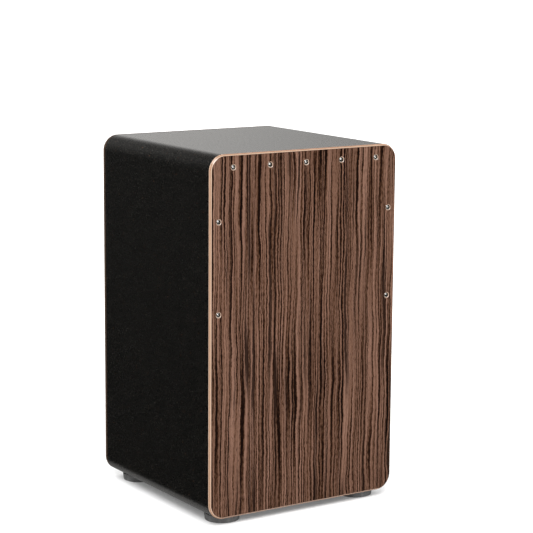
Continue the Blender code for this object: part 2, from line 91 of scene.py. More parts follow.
# ---------------------------------------------------------------- places from the frame
POST_LOW, POST_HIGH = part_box("top_right_corner_post")
POST_X = POST_LOW.x             # middle of the corner quarter rounds
POST_TOP_Z = POST_LOW.z
CORNER_RADIUS = POST_HIGH.x - POST_LOW.x
BOX_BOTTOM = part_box("base_panel")[0].z
POST_BOTTOM_Z = BOX_BOTTOM + CORNER_RADIUS
SHELL_FRONT, SHELL_BACK = POST_LOW.y, POST_HIGH.y
TAPA_FRONT, TAPA_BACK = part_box("tapa")[0].y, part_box("tapa")[1].y
REAR_FRONT, REAR_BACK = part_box("back_panel")[0].y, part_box("back_panel")[1].y
PIVOT = Vector(frame["joints"][0]["pos_m"])
FEET = ("front_left", "front_right", "rear_left", "rear_right")
TAPA_SCREWS = tuple(f"tapa_screw_{i}" for i in range(1, 10))

# ---------------------------------------------------------------- sizes of the fine shapes
SEAM = 0.00001                  # between boards whose joint doesn't show
GLUE_GAP = 0.0003               # the gap that the CAD keeps between faces that touch
CUT_SPARE = 0.0030              # how far a cutter reaches past the face it cuts through
ROUND_FACETS = 64
SMALL_FACETS = 40
PILOT_FACETS = 16
CORNER_STEPS = 32               # facets in a quarter round of the box

SHELL_ARRIS = 0.0016
BATTEN_ARRIS = 0.0007
FACE_MARGIN = 0.004             # how far in from its rim a plate's flat face is drawn
TAPA_BEVEL = 0.0023
TAPA_ARRIS = 0.0004
FACE_ON = 0.93                  # |y| of a normal above which it belongs to the tapa's flat faces
COUNTERSINK = 0.0045            # radius at the tapa's face
COUNTERSINK_FACETS = 48
CLEARANCE_HOLE = 0.0018
TAPA_PILOT_DEPTH = 0.0120       # of the screw holes in the front battens
REAR_ARRIS = 0.0006
HOLE_RADIUS = 0.060             # of the sound hole
HOLE_ARRIS = 0.0007
HOLE_MIDDLE = 0.332             # height of the sound hole's middle
HOLE_FACETS = 128
HOLE_SKIM = 0.00003             # how far off the faces the sound hole's cutter runs out

VENEER = 0.00028                # how deep the veneer goes
VENEER_REPEAT = 0.0163          # width over which the veneer's stripes come back
OUTER_PLY = 0.0012              # depth at which the outer ply ends
CROSS_PLY = 0.0024              # depth at which the darker cross ply ends
VENEER_BLEND = 0.00006          # depth over which the veneer gives way to the outer ply
PLY_BLEND = 0.0001              # and one ply to the next

# ---------------------------------------------------------------- sizes of screws, feet and brackets
SCREW_TURNS = 2.39996           # radians between one screw's slot and the next
TAPA_SCREW_SHANK = 0.0015
TAPA_SCREW_DOME = 0.0008        # height of the raised head's dome
TAPA_SCREW_RIM = 0.00012        # straight edge between the dome and the cone
PAN_RIM = 0.35                  # straight rim of a pan head, as a share of its height
TIP_TAPER = 1.6                 # length of a screw's point, in shank radii
TIP_SHARE = 0.35                # flat end of the point, as a share of the shank
SLOT_ARM, SLOT_HALF_WIDTH, SLOT_DEPTH = 0.50, 0.13, 0.38    # shares of the head's radius
SLOT_SPARE = 0.0004             # how far the slot's cutter reaches above the head

FOOT_TAPER = 0.0010
FOOT_EDGE = 0.0008
FOOT_RECESS = 0.0080
FOOT_BORE = 0.0023              # the foot screw's hole through washer, foot and base
FOOT_PILOT_DEPTH = 0.0098       # of that hole in the base
FOOT_SCREW_SHANK = 0.0020
WASHER_EDGE = 0.0002

BRACKET_ARRIS = 0.0010
BRACKET_SCREW_SHANK = 0.0017
BRACKET_SCREW_HOLE = 0.0020
BRACKET_PILOT_DEPTH = 0.0063    # of the bracket screws' holes in the side boards
BRACKET_SCREW_TURN = 900.0      # radians by which its slot turns for each metre of height

# ---------------------------------------------------------------- sizes of the swinging snare
# The snare's own frame is on the bar's axis, with the lever along +Y and the strands along +Z.
BAR_RADIUS = 0.0080
BAR_FLAT = 0.0060               # from the axis to the flat that the snares lie on
FLAT_RUNOUT = 0.002             # length over which the flat ends
SNARE_MIDDLE = 0.046            # from the box's middle to the middle of a snare
PLATE_HALF = 0.0331
PLATE_BACK = -0.0063
PLATE_FRONT = -0.0075
PLATE_HALF_HEIGHT = 0.0045
PLATE_ARRIS = 0.00035
STRIP_BACK = -0.0078
STRIP_FRONT = -0.0093
STRIP_HALF_HEIGHT = 0.0038
STRIP_ARRIS = 0.0005

STRANDS = 12
STRAND_PITCH = 0.0040
STRAND_LOW = 0.0030
STRAND_HIGH = 0.118
COIL_RADIUS = 0.00062
WIRE_RADIUS = 0.00019
COIL_LEAD = 0.0019              # how far a strand climbs in one turn
COIL_PHASE = 1.3                # radians between one strand's winding and the next
TURN_STEPS = 8                  # rings of a coil in each turn
WIRE_SIDES = 5

CLAMP_SCREW_X = 0.0281          # from the middle of a snare
CLAMP_SCREW_HOLE = 0.0016
CLAMP_SCREW_SHANK = 0.0013
CLAMP_SCREW_TIP = -0.0121
CLAMP_HEAD_RADIUS = 0.0025
CLAMP_HEAD_HEIGHT = 0.0016
CLAMP_BORE_LENGTH = 0.008       # long enough to go through a plate or a strip
BAR_PILOT_DEPTH = 0.0093        # of the clamp screws' holes in the bar

LEVER_RADIUS = 0.0045
LEVER_LENGTH = 0.098
LEVER_EDGE = 0.0006
LEVER_END = 0.002               # length of its far end, taken to find where it points
KNOB_MOUTH = 0.084              # along the lever, from the bar's axis
KNOB_MOUTH_RADIUS = 0.0071
KNOB_WAIST = 0.0927             # where the knob reaches its full radius
KNOB_SHOULDER = 0.1034          # and where it leaves it
KNOB_RADIUS = 0.0095
KNOB_NOSE = 0.1092
KNOB_NOSE_RADIUS = 0.0066
KNOB_END = 0.110
KNOB_ROUNDING = 0.0030

# ---------------------------------------------------------------- values of floor and light
FLOOR_HALF = 30.0
FLOOR_GLOW = 0.16
# Brightness of the room by degrees above the horizon: towards its window, and elsewhere.
WINDOW_SKY = ((-90, 0.34), (-32, 0.34), (-23, 0.20), (-10, 0.10), (-3, 0.06), (1, 1.0),
              (20, 1.0), (28, 0.06), (90, 0.06))
OTHER_SKY = ((-90, 0.20), (-50, 0.30), (-34, 0.62), (-32, 0.75), (-29, 0.0), (-16, 0.004),
             (-11, 0.018), (-5, 0.065), (3, 0.055), (22, 0.050), (34, 0.038), (90, 0.038))
SKY_STRENGTH = 1.16
SKY_TINT = (1.0, 0.98, 0.955)
WINDOW_TOWARDS = (0.55, 0.83)   # x and y of the way to the window
WINDOW_EDGE = (0.62, 0.30)      # where along that way the window begins, and how softly
DIM_EDGE = (0.575, 0.17)        # where along +X the room dims, and how softly
DIM_SHARE = 0.5
# Where each lamp stands, its strength, how wide it looks in degrees, and if it is mirrored.
LAMPS = {
    "key": ((-0.40, -0.51, 0.77), 1.9, 34, True),
    "screen": ((0.30, -0.95, 0.07), 0.25, 24, True),
    "top": ((0.0, 0.0, 1.0), 3.2, 130, False),
    "front": ((-0.25, -0.75, 0.60), 0.6, 110, False),
    "rear": ((0.15, 0.93, 0.33), 1.4, 60, False),
}


# ---------------------------------------------------------------- shader graphs
class Graph:
    """A node tree being built. The helpers take and return sockets or plain values."""

    def __init__(self, tree, coordinates):
        self.tree = tree
        self.place = tree.nodes.new("ShaderNodeTexCoord").outputs[coordinates]

    def put(self, socket, value):
        if isinstance(value, bpy.types.NodeSocket):
            self.tree.links.new(value, socket)
        else:
            socket.default_value = value

    def node(self, kind, inputs, **settings):
        made = self.tree.nodes.new(kind)
        for key, value in settings.items():
            setattr(made, key, value)
        for key, value in inputs.items():
            self.put(made.inputs[key], value)
        return made

    def math(self, operation, a, b=0.0):
        return self.node("ShaderNodeMath", {0: a, 1: b}, operation=operation).outputs[0]

    def total(self, *terms):
        """The sum of (value, weight) terms."""
        products = [self.math("MULTIPLY", value, weight) for value, weight in terms]
        whole = products[0]
        for product in products[1:]:
            whole = self.math("ADD", whole, product)
        return whole

    def axes(self):
        return tuple(self.node("ShaderNodeSeparateXYZ", {0: self.place}).outputs)

    def vector(self, x, y, z):
        return self.node("ShaderNodeCombineXYZ", {0: x, 1: y, 2: z}).outputs[0]

    def scaled(self, scale, vector=None, shift=(0.0, 0.0, 0.0)):
        """The place with each axis scaled, in cycles per metre."""
        inputs = {"Vector": vector or self.place, "Scale": scale, "Location": shift}
        return self.node("ShaderNodeMapping", inputs).outputs[0]

    def noise(self, vector, detail=2.0, roughness=0.5, distortion=0.0):
        inputs = {"Vector": vector, "Scale": 1.0, "Detail": detail, "Roughness": roughness,
                  "Distortion": distortion}
        return self.node("ShaderNodeTexNoise", inputs).outputs[0]

    def ramp(self, value, stops):
        """Stops are (position, grey or colour)."""
        made = self.node("ShaderNodeValToRGB", {0: value})
        elements = made.color_ramp.elements
        while len(elements) < len(stops):
            elements.new(1.0)
        for element, (position, tone) in zip(elements, stops):
            element.position = position
            grey = isinstance(tone, float)
            element.color = (tone, tone, tone, 1.0) if grey else (*tone, 1.0)
        return made.outputs[0]

    def mix(self, factor, a, b, blend="MIX"):
        made = self.tree.nodes.new("ShaderNodeMix")
        made.data_type = "RGBA"
        made.blend_type = blend
        self.put(made.inputs[0], factor)
        for socket, value in ((made.inputs[6], a), (made.inputs[7], b)):
            self.put(socket, (*value, 1.0) if isinstance(value, tuple) else value)
        return made.outputs[2]

    def step(self, value, edge, width):
        """0 below edge and 1 above it, with a soft change of that width."""
        limits = {0: value, 1: edge - width / 2, 2: edge + width / 2}
        made = self.node("ShaderNodeMapRange", limits, interpolation_type="SMOOTHSTEP")
        return made.outputs[0]

    def bump(self, height, distance, normal=None):
        inputs = {"Height": height, "Distance": distance, "Strength": 1.0}
        if normal:
            inputs["Normal"] = normal
        return self.node("ShaderNodeBump", inputs).outputs[0]


class Surface(Graph):
    """A node material on the piece's own coordinates, in metres."""

    def __init__(self, name, roughness=0.5, metallic=0.0, specular=0.5):
        self.material = bpy.data.materials.new(name)
        self.material.use_nodes = True
        super().__init__(self.material.node_tree, "Object")
        self.shader = self.tree.nodes["Principled BSDF"]
        self.shader.inputs["Metallic"].default_value = metallic
        self.shader.inputs["Roughness"].default_value = roughness
        self.shader.inputs["Specular IOR Level"].default_value = specular

    def finish(self, colour, roughness=None, normal=None):
        self.put(self.shader.inputs["Base Color"], colour)
        if roughness:
            self.put(self.shader.inputs["Roughness"], roughness)
        if normal:
            self.put(self.shader.inputs["Normal"], normal)
        return self.material


# ---------------------------------------------------------------- materials
def black_board():
    """Fibreboard dyed black right through and sealed, with stray fibres that stayed pale."""
    s = Surface("black_board", specular=0.3)
    cloud = s.noise(s.scaled((45, 45, 45)), detail=4.0, roughness=0.6)
    fleck = s.noise(s.scaled((560, 560, 560)), detail=1.0, roughness=0.75)
    colour = s.ramp(s.total((cloud, 0.04), (fleck, 0.96)), (
        (0.46, (0.0002, 0.0002, 0.0002)),
        (0.54, (0.0020, 0.0019, 0.0016)),
        (0.62, (0.0140, 0.0132, 0.0113)),
        (0.70, (0.0360, 0.0338, 0.0294)),
    ))
    chips = s.noise(s.scaled((620, 620, 620)), detail=1.0)
    colour = s.mix(s.step(chips, 0.750, 0.04), colour, (0.110, 0.096, 0.078))
    fibres = s.noise(s.scaled((300, 300, 520), shift=(3.0, 7.0, 1.0)), detail=1.0)
    colour = s.mix(s.step(fibres, 0.765, 0.03), colour, (0.120, 0.058, 0.030))
    grain = s.noise(s.scaled((1500, 1500, 1500)), detail=3.0, roughness=0.7)
    haze = s.noise(s.scaled((340, 340, 340)), detail=3.0)
    roughness = s.ramp(haze, ((0.3, 0.25), (0.7, 0.33)))
    normal = s.bump(cloud, 0.00001, s.bump(grain, 0.00001))
    return s.finish(colour, roughness, normal)


def plywood_colour(s, depth):
    """Three plies by depth below the face: pale, a darker cross ply, pale. The first pale ply, which
    lies on the bevel, is painted a little darker than the last as painted shade against the light
    the bevel catches.
    """
    along = s.noise(s.scaled((900, 60, 14)), detail=3.0, roughness=0.6)
    # outer is the ply on the bevel: the same pale ply as inner, painted a little darker as painted
    # shade
    outer = s.mix(s.step(along, 0.5, 0.5), (0.430, 0.295, 0.212), (0.530, 0.375, 0.280))
    inner = s.mix(s.step(along, 0.5, 0.5), (0.490, 0.330, 0.235), (0.580, 0.410, 0.305))
    cross = s.noise(s.scaled((60, 700, 900)), detail=3.0, roughness=0.7)
    tan = s.mix(s.step(cross, 0.5, 0.5), (0.290, 0.150, 0.085), (0.410, 0.235, 0.145))
    colour = s.mix(s.step(depth, OUTER_PLY, PLY_BLEND), outer, tan)
    return s.mix(s.step(depth, CROSS_PLY, PLY_BLEND), colour, inner)


def veneer():
    """Veneer of wavering dark and light stripes up the plate, on pale plywood, lacquered."""
    s = Surface("striped_veneer", specular=0.05)
    x, y, z = s.axes()
    sway = s.noise(s.scaled((22.0, 0.0, 9.0)), detail=2.0, roughness=0.6)
    wobble = s.noise(s.scaled((80.0, 0.0, 90.0)), detail=3.0, roughness=0.85)
    shift = s.total((s.math("SUBTRACT", sway, 0.5), 0.012),
                    (s.math("SUBTRACT", wobble, 0.5), 0.0034))
    swayed = s.math("ADD", x, shift)
    across = s.vector(swayed, 0.0, z)

    bands = s.noise(s.scaled((50, 1, 0.4), across, (5.0, 0.0, 2.0)), detail=1.0)
    stripes = s.noise(s.scaled((230, 1, 0.8), across, (1.0, 0.0, 4.0)), detail=2.0, roughness=0.6)
    lines = s.noise(s.scaled((470, 1, 3.4), across, (9.0, 0.0, 1.0)), detail=1.0)
    veins = s.noise(s.scaled((150, 1, 0.8), across, (7.0, 0.0, 3.0)), detail=1.0)
    breaks = s.noise(s.scaled((90, 1, 5.0), across, (4.0, 0.0, 6.0)), detail=1.0)
    fibre = s.noise(s.scaled((2600, 1, 60.0), across), detail=2.0, roughness=0.7)
    pores = s.noise(s.scaled((1700, 1, 130.0), across, (2.0, 0.0, 8.0)), detail=1.0)
    mottle = s.noise(s.scaled((520, 1, 170.0), across, (6.0, 0.0, 5.0)), detail=1.0)

    repeat = s.math("SINE", s.math("MULTIPLY", swayed, 2 * math.pi / VENEER_REPEAT))
    tone = s.total((stripes, 0.24), (lines, 0.52), (bands, 0.12), (mottle, 0.12), (repeat, 0.010))
    colour = s.ramp(tone, (
        (0.410, (0.0045, 0.0012, 0.0004)),
        (0.442, (0.0180, 0.0058, 0.0018)),
        (0.468, (0.0610, 0.0265, 0.0135)),
        (0.494, (0.1150, 0.0575, 0.0355)),
        (0.530, (0.1460, 0.0750, 0.0495)),
        (0.600, (0.2050, 0.1120, 0.0780)),
    ))
    # Nearly black veins follow the lines on which one noise crosses its middle value.
    from_vein = s.math("ABSOLUTE", s.math("SUBTRACT", veins, 0.5))
    inked = s.math("SUBTRACT", 1.0, s.step(from_vein, 0.026, 0.018))
    inked = s.math("MULTIPLY", inked, s.step(breaks, 0.47, 0.16))
    colour = s.mix(s.math("MULTIPLY", inked, 0.90), colour, (0.0065, 0.0020, 0.0007))
    streak = s.ramp(fibre, ((0.30, 0.74), (0.70, 1.20)))
    colour = s.mix(1.0, colour, streak, "MULTIPLY")
    open_pore = s.math("MULTIPLY", s.step(pores, 0.65, 0.08), 0.70)
    colour = s.mix(open_pore, colour, (0.0130, 0.0050, 0.0020))
    depth = s.math("SUBTRACT", y, TAPA_FRONT)
    colour = s.mix(s.step(depth, VENEER, VENEER_BLEND), colour, plywood_colour(s, depth))
    roughness = s.ramp(tone, ((0.40, 0.50), (0.60, 0.38)))
    normal = s.bump(fibre, 0.000012, s.bump(tone, 0.00006))
    return s.finish(colour, roughness, normal)


def plywood_edge():
    """The struck plate's cut edges: the thin veneer, then the plies, under clear lacquer."""
    s = Surface("plywood_edge", specular=0.8)
    depth = s.math("SUBTRACT", s.axes()[1], TAPA_FRONT)
    brown = (0.100, 0.050, 0.032)
    colour = s.mix(s.step(depth, VENEER, VENEER_BLEND), brown, plywood_colour(s, depth))
    pores = s.noise(s.scaled((1400, 1400, 1400)), detail=3.0, roughness=0.7)
    roughness = s.ramp(pores, ((0.3, 0.18), (0.7, 0.26)))
    return s.finish(colour, roughness, s.bump(pores, 0.00001))


def rear_board():
    """Thin fibreboard: black lacquer on its face, brown at its cut edges."""
    s = Surface("rear_board", specular=0.3)
    y = s.axes()[1]
    cloud = s.noise(s.scaled((60, 60, 60)), detail=4.0)
    black = s.mix(s.step(cloud, 0.5, 0.5), (0.0072, 0.0070, 0.0068), (0.0120, 0.0115, 0.0110))
    felt = s.noise(s.scaled((800, 2600, 800)), detail=3.0, roughness=0.7)
    brown = s.mix(s.step(felt, 0.5, 0.4), (0.034, 0.019, 0.012), (0.085, 0.050, 0.031))
    paint_ends = REAR_BACK - 0.6 * REAR_ARRIS
    painted = s.step(y, paint_ends, 0.0002)
    colour = s.mix(painted, brown, black)
    roughness = s.ramp(painted, ((0.0, 0.85), (1.0, 0.42)))
    grain = s.noise(s.scaled((1100, 1100, 1100)), detail=3.0, roughness=0.7)
    normal = s.bump(grain, 0.00002, s.bump(cloud, 0.00001))
    return s.finish(colour, roughness, normal)


def timber(name, light, dark, axis):
    """Planed wood with its grain along one of the piece's own axes."""
    s = Surface(name)

    def grained(along, across):
        """Cycles per metre along the grain's axis and across it."""
        return s.scaled([along if i == axis else across for i in range(3)])

    rings = s.noise(grained(3.6, 89.6), detail=2.0, distortion=0.6)
    streaks = s.noise(grained(9.0, 320.0), detail=4.0, roughness=0.6)
    pores = s.noise(grained(81.0, 1920.0), detail=1.0)
    colour = s.mix(s.step(s.total((rings, 0.6), (streaks, 0.4)), 0.5, 0.30), dark, light)
    deep = tuple(c * 0.35 for c in dark)
    colour = s.mix(s.math("MULTIPLY", s.step(pores, 0.68, 0.06), 0.6), colour, deep)
    roughness = s.ramp(streaks, ((0.3, 0.63), (0.7, 0.47)))
    normal = s.bump(streaks, 0.00008, s.bump(pores, 0.00004))
    return s.finish(colour, roughness, normal)


def metal(name, tone, roughness):
    """Bright metal, brushed along the piece's own Z."""
    s = Surface(name, metallic=1.0)
    brushed = s.noise(s.scaled((900, 900, 120)), detail=3.0, roughness=0.7)
    cloud = s.noise(s.scaled((160, 160, 160)), detail=2.0)
    low = tuple(c * 0.82 for c in tone)
    colour = s.mix(s.step(cloud, 0.5, 0.5), low, tone)
    scratched = s.ramp(brushed, ((0.3, roughness - 0.03), (0.7, roughness + 0.06)))
    return s.finish(colour, scratched, s.bump(brushed, 0.000004))


def rubber():
    """Matt grey rubber with paler specks of dust."""
    s = Surface("grey_rubber", specular=0.4)
    cloud = s.noise(s.scaled((180, 180, 180)), detail=3.0)
    colour = s.mix(s.step(cloud, 0.5, 0.5), (0.096, 0.096, 0.095), (0.150, 0.150, 0.148))
    grain = s.noise(s.scaled((1600, 1600, 1600)), detail=2.0)
    dust = s.noise(s.scaled((420, 420, 420), shift=(4.0, 2.0, 6.0)), detail=2.0)
    colour = s.mix(s.math("MULTIPLY", s.step(dust, 0.66, 0.1), 0.3), colour, (0.17, 0.17, 0.165))
    roughness = s.ramp(grain, ((0.3, 0.62), (0.7, 0.82)))
    return s.finish(colour, roughness, s.bump(grain, 0.00006))


def black_plastic():
    """Moulded black plastic with a faint grain."""
    s = Surface("knob_plastic")
    grain = s.noise(s.scaled((900, 900, 900)), detail=2.0)
    cloud = s.noise(s.scaled((140, 140, 140)), detail=2.0)
    colour = s.mix(s.step(cloud, 0.5, 0.5), (0.014, 0.014, 0.014), (0.022, 0.022, 0.022))
    roughness = s.ramp(cloud, ((0.3, 0.34), (0.7, 0.46)))
    return s.finish(colour, roughness, s.bump(grain, 0.00002))


def floor_material():
    """Pale matt floor with a faint glow of its own, so that it fades into the white around it."""
    s = Surface("pale_floor", roughness=0.9, specular=0.0)
    s.shader.inputs["Emission Color"].default_value = (1.0, 1.0, 1.0, 1.0)
    s.shader.inputs["Emission Strength"].default_value = FLOOR_GLOW
    cloud = s.noise(s.scaled((3, 3, 3)), detail=2.0)
    return s.finish(s.mix(cloud, (0.83, 0.83, 0.83), (0.85, 0.85, 0.85)))


# ---------------------------------------------------------------- mesh helpers
def loft(rings, closed=False):
    """Skin rings of points into one solid. A ring of one point is a pole, and a closed loft
    joins its last ring to its first."""
    work = bmesh.new()
    loops = [[work.verts.new(point) for point in points] for points in rings]
    pairs = list(zip(loops, loops[1:]))
    if closed:
        pairs.append((loops[-1], loops[0]))
    for lower, upper in pairs:
        count = max(len(lower), len(upper))
        for i in range(count):
            j = (i + 1) % count
            if len(lower) == 1:
                work.faces.new((lower[0], upper[j], upper[i]))
            elif len(upper) == 1:
                work.faces.new((lower[i], lower[j], upper[0]))
            else:
                work.faces.new((lower[i], lower[j], upper[j], upper[i]))
    if not closed:
        for loop in (loops[0], loops[-1]):
            if len(loop) > 2:
                work.faces.new(loop)
    bmesh.ops.recalc_face_normals(work, faces=work.faces)
    return work


def stacked(sections):
    """Closed (x, z) outlines, each at its own y, skinned into one solid."""
    return loft([[(x, y, z) for x, z in outline] for outline, y in sections])


def lathe(profile, facets=SMALL_FACETS, closed=False):
    """Spin (radius, height) points about +Z. A closed profile makes a ring with a bore."""
    rings = []
    for radius, height in profile:
        if radius < 1e-9:
            rings.append([(0.0, 0.0, height)])
            continue
        turns = [2 * math.pi * i / facets for i in range(facets)]
        rings.append([(radius * math.cos(a), radius * math.sin(a), height) for a in turns])
    return loft(rings, closed)


def soften(points, radius, steps=3, closed=False):
    """Round the corners of a profile. An open one keeps its two ends as they are."""
    count = len(points)
    made = [] if closed else [points[0]]
    for i in range(0 if closed else 1, count if closed else count - 1):
        corner = Vector(points[i])
        before = Vector(points[i - 1]) - corner
        after = Vector(points[(i + 1) % count]) - corner
        half = before.angle(after) / 2
        reach = min(radius / math.tan(half), before.length * 0.45, after.length * 0.45)
        start = corner + before.normalized() * reach
        end = corner + after.normalized() * reach
        for k in range(steps + 1):
            t = k / steps
            point = start * (1 - t) ** 2 + corner * 2 * t * (1 - t) + end * t ** 2
            made.append((point.x, point.y))
    if not closed:
        made.append(points[-1])
    return made


def rounded_block(low, high, radius, segments=3):
    """A block with every edge rounded."""
    work = bmesh.new()
    bmesh.ops.create_cube(work, size=1.0)
    middle = (Vector(low) + Vector(high)) / 2
    size = Vector(high) - Vector(low)
    bmesh.ops.transform(work, matrix=Matrix.Translation(middle) @ Matrix.Diagonal((*size, 1.0)),
                        verts=work.verts)
    bmesh.ops.bevel(work, geom=work.edges[:], offset=radius, segments=segments, profile=0.5,
                    affect="EDGES")
    return work


def aim(direction, place, spin=0.0):
    """Matrix that turns +Z to direction, after a spin about itself, at place."""
    turn = Vector((0, 0, 1)).rotation_difference(Vector(direction)).to_matrix().to_4x4()
    return Matrix.Translation(place) @ turn @ Matrix.Rotation(spin, 4, "Z")


def aimed(work, direction, place):
    """Turn a solid spun about +Z so that +Z points along direction, and move it to place."""
    bmesh.ops.transform(work, matrix=aim(direction, place), verts=work.verts)
    return work


def bore(radius, start, length, direction, facets=PILOT_FACETS):
    """A cylinder to cut with, from start along direction."""
    profile = ((0, 0), (radius, 0), (radius, length), (0, length))
    return aimed(lathe(profile, facets), direction, start)


def to_mesh(work, name="shape"):
    mesh = bpy.data.meshes.new(name)
    work.to_mesh(mesh)
    work.free()
    return mesh


def joined(works):
    """Several solids as one bmesh."""
    whole = bmesh.new()
    for work in works:
        mesh = to_mesh(work)
        whole.from_mesh(mesh)
        bpy.data.meshes.remove(mesh)
    return whole


def carved(work, cutters):
    """Take solids, none of which meet each other, away from a solid."""
    collection = bpy.context.scene.collection
    body = bpy.data.objects.new("carved", to_mesh(work))
    tool = bpy.data.objects.new("carver", to_mesh(joined(cutters)))
    collection.objects.link(body)
    collection.objects.link(tool)
    modifier = body.modifiers.new("carve", "BOOLEAN")
    modifier.operation = "DIFFERENCE"
    modifier.solver = "EXACT"
    modifier.object = tool
    graph = bpy.context.evaluated_depsgraph_get()
    mesh = bpy.data.meshes.new_from_object(body.evaluated_get(graph))
    result = bmesh.new()
    result.from_mesh(mesh)
    for extra in (body, tool):
        data = extra.data
        bpy.data.objects.remove(extra)
        bpy.data.meshes.remove(data)
    bpy.data.meshes.remove(mesh)
    return result


def piece(name, shape, material, slot, *nodes, place=None, sharp=32.0):
    """One visible piece: it stands for the CAD nodes given and rides on their body. A mesh that
    has its materials already, because it's shared or has two of them, keeps them."""
    mesh = shape if isinstance(shape, bpy.types.Mesh) else to_mesh(shape, name)
    mesh.polygons.foreach_set("use_smooth", [True] * len(mesh.polygons))
    mesh.set_sharp_from_angle(angle=math.radians(sharp))
    if not mesh.materials:
        mesh.materials.append(material)
    made = bpy.data.objects.new(name, mesh)
    bpy.context.scene.collection.objects.link(made)
    if place:
        made.matrix_world = place
    weighted = made.modifiers.new("flat_faces_stay_flat", "WEIGHTED_NORMAL")
    weighted.keep_sharp = True
    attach(made, frame["nodes"][nodes[0]]["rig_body"])
    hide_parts(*nodes)
    return made


def middle_of(node):
    low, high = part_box(node)
    return (low + high) / 2


# ---------------------------------------------------------------- the black shell
def arris(radius, steps=4):
    """(inset, travel) points of a rounded edge, from the end face to the long face."""
    turns = [math.radians(90 * i / steps) for i in range(steps + 1)]
    return [(radius * (1 - math.sin(a)), radius * (1 - math.cos(a))) for a in turns]


def shell_board(outline):
    """A board of the shell: outline(inset) drawn front to back, with rounded end arrises."""
    steps = arris(SHELL_ARRIS)
    front = [(outline(inset), SHELL_FRONT + travel) for inset, travel in steps]
    back = [(outline(inset), SHELL_BACK - travel) for inset, travel in reversed(steps)]
    return stacked(front + back)


def flat_board(node, side):
    """Outline maker for a panel whose outer face looks along side, (x, z)."""
    low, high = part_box(node)

    def outline(inset):
        x0 = low.x + (inset if side[0] < 0 else 0.0)
        x1 = high.x - (inset if side[0] > 0 else 0.0)
        z0 = low.z + (inset if side[1] < 0 else 0.0)
        z1 = high.z - (inset if side[1] > 0 else 0.0)
        return [(x0, z0), (x1, z0), (x1, z1), (x0, z1)]

    return outline


def corner_post(right, top):
    """Outline maker for a quarter round that reaches the two panels beside it."""
    seat_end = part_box("seat_panel")[1].x + SEAM
    side_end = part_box("left_side_panel")[1].z + SEAM
    lead = POST_X - seat_end
    drop = POST_TOP_Z - side_end

    def outline(inset):
        radius = CORNER_RADIUS - inset
        points = [(-lead, -drop), (-lead, radius)]
        for i in range(CORNER_STEPS + 1):
            angle = math.radians(90 - 90 * i / CORNER_STEPS)
            points.append((radius * math.cos(angle), radius * math.sin(angle)))
        points.append((radius, -drop))
        flip = 1 if right else -1
        if top:
            return [(flip * (POST_X + u), POST_TOP_Z + v) for u, v in points]
        return [(flip * (POST_X + u), POST_BOTTOM_Z - v) for u, v in points]

    return outline


def base_pilots():
    """Holes for the four foot screws, up into the base."""
    starts = [middle_of(f"{foot}_foot_screw") for foot in FEET]
    return [bore(FOOT_BORE, (p.x, p.y, BOX_BOTTOM - CUT_SPARE), CUT_SPARE + FOOT_PILOT_DEPTH,
                 (0, 0, 1)) for p in starts]


def side_pilots(hand, side):
    """Holes for the bracket screws, out into a side board whose outer face looks along side."""
    low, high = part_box(f"{hand}_side_panel")
    inner = high.x if side < 0 else low.x
    middles = [middle_of(f"{hand}_{end}_bracket_screw") for end in ("upper", "lower")]
    return [bore(BRACKET_SCREW_HOLE, (inner - side * CUT_SPARE, p.y, p.z),
                 CUT_SPARE + BRACKET_PILOT_DEPTH, (side, 0, 0)) for p in middles]


def make_shell(black):
    boards = {
        "seat": ("seat_panel", (0, 1), []),
        "base": ("base_panel", (0, -1), base_pilots()),
        "left_side": ("left_side_panel", (-1, 0), side_pilots("left", -1)),
        "right_side": ("right_side_panel", (1, 0), side_pilots("right", 1)),
    }
    for name, (node, side, pilots) in boards.items():
        board = shell_board(flat_board(node, side))
        if pilots:
            board = carved(board, pilots)
        piece(f"{name}_board", board, black, "black_lacquer", node)
    for top in (True, False):
        for right in (True, False):
            name = f"{'top' if top else 'bottom'}_{'right' if right else 'left'}"
            post = shell_board(corner_post(right, top))
            piece(f"{name}_post", post, black, "black_lacquer", f"{name}_corner_post")


# ---------------------------------------------------------------- struck plate and rear plate
def box_outline(inset=0.0):
    """The box seen from the front: a rectangle with quarter-round corners."""
    points = []
    corners = ((POST_X, POST_TOP_Z, 0), (-POST_X, POST_TOP_Z, 90),
               (-POST_X, POST_BOTTOM_Z, 180), (POST_X, POST_BOTTOM_Z, 270))
    for x, z, start in corners:
        for i in range(CORNER_STEPS + 1):
            angle = math.radians(start + 90 * i / CORNER_STEPS)
            radius = CORNER_RADIUS - inset
            points.append((x + radius * math.cos(angle), z + radius * math.sin(angle)))
    return points


def make_tapa(face, edge):
    thickness = TAPA_BACK - TAPA_FRONT
    profile = soften([(TAPA_BEVEL + FACE_MARGIN, 0.0), (TAPA_BEVEL, 0.0), (0.0, TAPA_BEVEL),
                      (0.0, thickness), (FACE_MARGIN, thickness)], TAPA_ARRIS)
    plate = stacked([(box_outline(inset), TAPA_FRONT + depth) for inset, depth in profile])
    cutter = [(0.0, -CUT_SPARE), (COUNTERSINK + CUT_SPARE, -CUT_SPARE),
              (CLEARANCE_HOLE, COUNTERSINK - CLEARANCE_HOLE),
              (CLEARANCE_HOLE, thickness + CUT_SPARE), (0.0, thickness + CUT_SPARE)]
    holes = []
    for node in TAPA_SCREWS:
        middle = middle_of(node)
        holes.append(aimed(lathe(cutter, COUNTERSINK_FACETS), (0, 1, 0),
                           (middle.x, TAPA_FRONT, middle.z)))
    mesh = to_mesh(carved(plate, holes), "struck_plate")
    mesh.materials.append(face)
    mesh.materials.append(edge)
    for polygon in mesh.polygons:
        polygon.material_index = 0 if abs(polygon.normal.y) > FACE_ON else 1
    piece("struck_plate", mesh, face, "veneer", "tapa")


